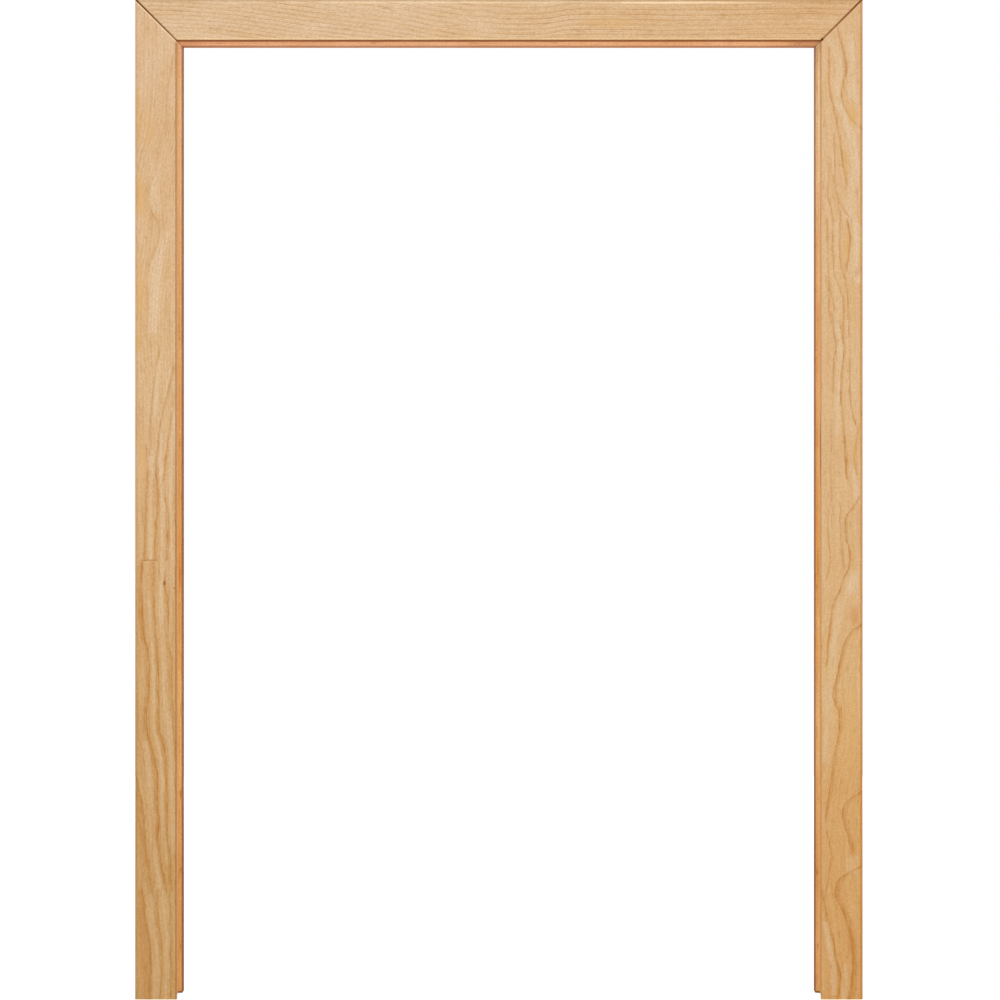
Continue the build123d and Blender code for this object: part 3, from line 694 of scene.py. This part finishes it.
# The jambs' tones hold painted light and shade: the side jambs are painted lighter, to make up for the
# little light on their faces toward the doorway, and the head jamb darker, for the shade under the head
jamb_tones = {"jamb_left": [(0.0, "#ffbe7c"), (1.0, "#ffcc96")],
              "jamb_right": [(0.0, "#f2bc7e"), (1.0, "#f8cc98")],
              "jamb_head": [(0.0, "#c67c38"), (1.0, "#c67c34")]}
for node, lie, seed in (("jamb_left", UPRIGHT_FACING_RIGHT, 21.2),
                        ("jamb_right", UPRIGHT_FACING_LEFT, 22.7),
                        ("jamb_head", LEVEL_FACING_DOWN, 23.9)):
    boards[node] = pine("sanded_pine_" + node, node, lie, seed, jamb_tones[node], jamb_rings,
                        lean=[(0.0, 0.0), (0.4, 18.0), (0.7, -10.0), (1.0, 6.0)],
                        spots=jamb_spots.get(node, ()))

# The stops are heart pine, orange and resinous. Their spots show on the edge toward the front. Their
# tones are painted lighter, to make up for the shade in their recess, and darker toward the foot as
# painted shade, and their broad faces get painted shade.
stop_tones = {
    "stop_left": [(0.142, "#eabe7c"), (0.30, "#f9d693"), (0.456, "#f2c073"), (0.61, "#f4c886"),
                  (0.77, "#f5ce96"), (0.93, "#ffdeaf")],
    "stop_right": [(0.142, "#f5c583"), (0.30, "#ffd895"), (0.456, "#f8c578"), (0.61, "#fbc887"),
                   (0.77, "#fdd197"), (0.93, "#ffecc1")],
    "stop_head": [(0.0, "#ffcfa4"), (1.0, "#ffcf9e")],
}
# Painted shade on the stops' broad faces, which face into the doorway
stop_face_shade = {"stop_left": "#cc9656", "stop_right": "#dcb480", "stop_head": "#e8c090"}
# Where a stop's planed edge ends and its broad face starts, in millimetres from its middle
stop_edge = -27.6
stop_spots = {
    "stop_left": [(RESINOUS, 0.8, 0, -1.0, 427, 2.6, 16), (RESINOUS, 0.7, 0, -1.5, 264, 2.2, 8),
                  (RESINOUS, 0.6, 0, -1.0, 100, 2.2, 8), (RESINOUS, 0.5, 0, 1.0, 900, 3.0, 45),
                  (RESINOUS, 0.4, 0, -2.0, 700, 2.0, 30), (RESINOUS, 0.4, 0, -2.0, 610, 2.0, 25)],
    "stop_right": [(RESINOUS, 0.8, 0, -1.0, 260, 2.6, 12), (RESINOUS, 0.6, 0, 0.5, 100, 2.2, 8),
                   (RESINOUS, 0.5, 0, 1.0, 930, 3.0, 40), (RESINOUS, 0.4, 0, -1.5, 560, 2.0, 25)],
    "stop_head": [(RESINOUS, 0.3, 0, 1.0, 420, 2.2, 12), (RESINOUS, 0.3, 0, -1.0, 900, 2.2, 12)],
}
for node, lie, seed in (("stop_left", UPRIGHT_FACING_RIGHT, 31.2),
                        ("stop_right", UPRIGHT_FACING_LEFT, 32.7),
                        ("stop_head", LEVEL_FACING_DOWN, 33.9)):
    level = node == "stop_head"
    boards[node] = pine("planed_heart_pine_" + node, node, lie, seed, stop_tones[node], stop_rings,
                        late_tone="#d6a870", spots=stop_spots[node], mitre=(0.6, "#8a4f20", 0.0),
                        # Painted shade along the stop's arris toward the opening, and over the upright
                        # stops' feet
                        stop_arris_shade=0.2 if level else 0.6, foot=None if level else "#6e4220",
                        # Painted shade on the stop's broad face
                        side_shade=(-1 if node == "stop_right" else 1, stop_edge, stop_face_shade[node]))


def beech(name):
    """Pressed beech, cut on a saw: pinkish brown with short dark rays."""
    material = new_material(name)
    tree = material.node_tree
    here = add(tree, "ShaderNodeTexCoord", {}, "Object")
    # Rays are 0.6 mm across and 3 mm long
    place = add(tree, "ShaderNodeVectorMath", {0: here, 1: (1 / 0.0006, 1 / 0.0006, 1 / 0.003)},
                operation="MULTIPLY")
    rays = add(tree, "ShaderNodeTexNoise", {"Vector": place, "Scale": 1.0, "Detail": 2.0}, "Fac")
    colour = ramp_stops(add(tree, "ShaderNodeValToRGB", {"Fac": rays}),
                        [(0.3, "#b98a5e"), (0.6, "#caa077"), (1.0, "#d6b08a")])
    bump = add(tree, "ShaderNodeBump", {"Height": rays, "Strength": 0.4, "Distance": 0.0002})
    finish_material(tree, add(tree, "ShaderNodeBsdfPrincipled",
                              {"Base Color": colour, "Roughness": 0.7, "IOR": WOOD_IOR,
                               "Normal": bump}))
    return material


def steel(name, tint, roughness):
    """Drawn steel: bright along the drawing marks."""
    material = new_material(name)
    tree = material.node_tree
    here = add(tree, "ShaderNodeTexCoord", {}, "Object")
    # Marks are 0.3 mm across and 4 mm long, along the casings' nails
    place = add(tree, "ShaderNodeVectorMath", {0: here, 1: (1 / 0.0003, 1 / 0.004, 1 / 0.0003)},
                operation="MULTIPLY")
    marks = add(tree, "ShaderNodeTexNoise", {"Vector": place, "Scale": 1.0, "Detail": 2.0}, "Fac")
    dull = add(tree, "ShaderNodeMapRange",
               {"Value": marks, "To Min": roughness - 0.08, "To Max": roughness + 0.08})
    bump = add(tree, "ShaderNodeBump", {"Height": marks, "Strength": 0.3, "Distance": 0.00005})
    finish_material(tree, add(tree, "ShaderNodeBsdfPrincipled",
                              {"Base Color": linear(tint), "Metallic": 1.0, "Roughness": dull,
                               "Normal": bump}))
    return material


def wood_putty(name):
    """Wood putty, sanded flush: a shade yellower than the pine, with fine wood flour in it."""
    material = new_material(name)
    tree = material.node_tree
    here = add(tree, "ShaderNodeTexCoord", {}, "Object")
    # Grains of flour are 0.4 mm wide
    place = add(tree, "ShaderNodeVectorMath", {0: here, "Scale": 1 / 0.0004}, operation="SCALE")
    flour = add(tree, "ShaderNodeTexNoise", {"Vector": place, "Scale": 1.0, "Detail": 2.0}, "Fac")
    colour = ramp_stops(add(tree, "ShaderNodeValToRGB", {"Fac": flour}),
                        [(0.3, "#cfa673"), (0.7, "#dcb685")])
    finish_material(tree, add(tree, "ShaderNodeBsdfPrincipled",
                              {"Base Color": colour, "Roughness": 0.75, "IOR": WOOD_IOR}))
    return material


biscuit_beech = beech("pressed_beech")
nail_steel = steel("bright_drawn_steel", "#b9bcc0", 0.35)
screw_steel = steel("yellow_zinc_steel", "#c9b26b", 0.3)
putty = wood_putty("sanded_wood_putty")

for name, node in nodes.items():
    if name in boards:
        material = boards[name]
    elif name.startswith("biscuit"):
        material = biscuit_beech
    elif name.startswith(("nails", "brads")):
        material = nail_steel
    elif name.startswith("screws"):
        material = screw_steel
    else:
        material = putty
    node.data.materials.clear()
    node.data.materials.append(material)


# Floor and background: white to the camera, and a plain pale floor to the object

FLOOR_ALBEDO = 0.8
SHADOW_SHARE = 0.2
FLOOR_GLOW = 0.94
WORLD_LEVEL = 0.50


def grey(value):
    """A grey of this linear value."""
    return (value, value, value, 1.0)


def seen_directly(tree):
    """1 for rays that see the surroundings straight, in a mirror or through glass, and 0 for light."""
    rays = add(tree, "ShaderNodeLightPath", {}).node.outputs
    seen = add(tree, "ShaderNodeMath", {0: rays["Is Camera Ray"], 1: rays["Is Glossy Ray"]},
               operation="MAXIMUM")
    return add(tree, "ShaderNodeMath", {0: seen, 1: rays["Is Transmission Ray"]}, operation="MAXIMUM")


bpy.ops.object.select_all(action="DESELECT")
bpy.ops.mesh.primitive_plane_add(size=60.0, location=(0.0, 0.0, 0.0))
floor = bpy.context.object
floor.name = "studio_floor"
floor_material = new_material("white_studio_floor")
tree = floor_material.node_tree
plain = add(tree, "ShaderNodeBsdfDiffuse", {"Color": grey(FLOOR_ALBEDO)})
glow = add(tree, "ShaderNodeEmission", {"Color": WHITE, "Strength": FLOOR_GLOW})
faint = add(tree, "ShaderNodeBsdfDiffuse", {"Color": grey(SHADOW_SHARE)})
white = add(tree, "ShaderNodeAddShader", {0: glow, 1: faint})
finish_material(tree, add(tree, "ShaderNodeMixShader", {0: seen_directly(tree), 1: plain, 2: white}))
floor.data.materials.append(floor_material)

world = bpy.data.worlds.new("white_studio")
bpy.context.scene.world = world
world.use_nodes = True
tree = world.node_tree
tree.nodes.clear()
fill = add(tree, "ShaderNodeBackground", {"Color": WHITE, "Strength": WORLD_LEVEL})
white = add(tree, "ShaderNodeBackground", {"Color": WHITE, "Strength": 1.0})
both = add(tree, "ShaderNodeMixShader", {0: seen_directly(tree), 1: fill, 2: white})
tree.links.new(both, tree.nodes.new("ShaderNodeOutputWorld").inputs["Surface"])


def softbox(name, place, aim, size, level):
    """A square soft lamp that gives the aim point this level of light.

    A level of 1 shows a colour as it is written.
    """
    lamp = bpy.data.lights.new(name, "AREA")
    lamp.shape = "SQUARE"
    lamp.size = size
    reach = Vector(aim) - Vector(place)
    lamp.energy = level * math.pi ** 2 * reach.length_squared
    lamp_object = bpy.data.objects.new(name, lamp)
    lamp_object.location = place
    lamp_object.rotation_euler = reach.to_track_quat("-Z", "Y").to_euler()
    bpy.context.scene.collection.objects.link(lamp_object)


middle = (0.0, FRONT_FACE, FRAME_TOP / 2)
softbox("front_softbox", (0.0, -14.0, 1.3), middle, 2.0, 0.13)
softbox("left_softbox", (-6.5, -8.0, 1.3), middle, 2.0, 0.13)
softbox("right_softbox", (8.5, -6.5, 1.3), middle, 2.0, 0.27)
softbox("upper_left_softbox", (-3.0, -3.0, 4.0), middle, 2.5, 0.16)
softbox("back_softbox", (0.0, 7.0, 1.6), (0.0, 0.0, FRAME_TOP / 2), 3.0, 0.40)


# The camera, level and straight in front of the casings. The picture's side, and where the frame's
# sides and foot lie in it, are in pixels.

CAMERA_DISTANCE = 12.0
CAMERA_HEIGHT = 1.28
PICTURE_SIDE = 1000
FRAME_LEFT, FRAME_RIGHT = 135.0, 862.8
FRAME_FOOT = 999.5

scale = 2 * FRAME_HALF_WIDTH / (FRAME_RIGHT - FRAME_LEFT)
view_width = PICTURE_SIDE * scale
frame_middle = (FRAME_LEFT + FRAME_RIGHT) / 2
view_centre_height = (FRAME_FOOT - PICTURE_SIDE / 2) * scale

camera = bpy.data.cameras.new("camera")
camera.sensor_width = 36.0
camera.lens = camera.sensor_width * CAMERA_DISTANCE / view_width
camera.shift_x = (PICTURE_SIDE / 2 - frame_middle) / PICTURE_SIDE
camera.shift_y = (view_centre_height - CAMERA_HEIGHT) / view_width
camera_object = bpy.data.objects.new("camera", camera)
camera_object.location = (0.0, FRONT_FACE - CAMERA_DISTANCE, CAMERA_HEIGHT)
camera_object.rotation_euler = (math.pi / 2, 0.0, 0.0)
bpy.context.scene.collection.objects.link(camera_object)
bpy.context.scene.camera = camera_object
bpy.context.scene.view_settings.view_transform = "Standard"
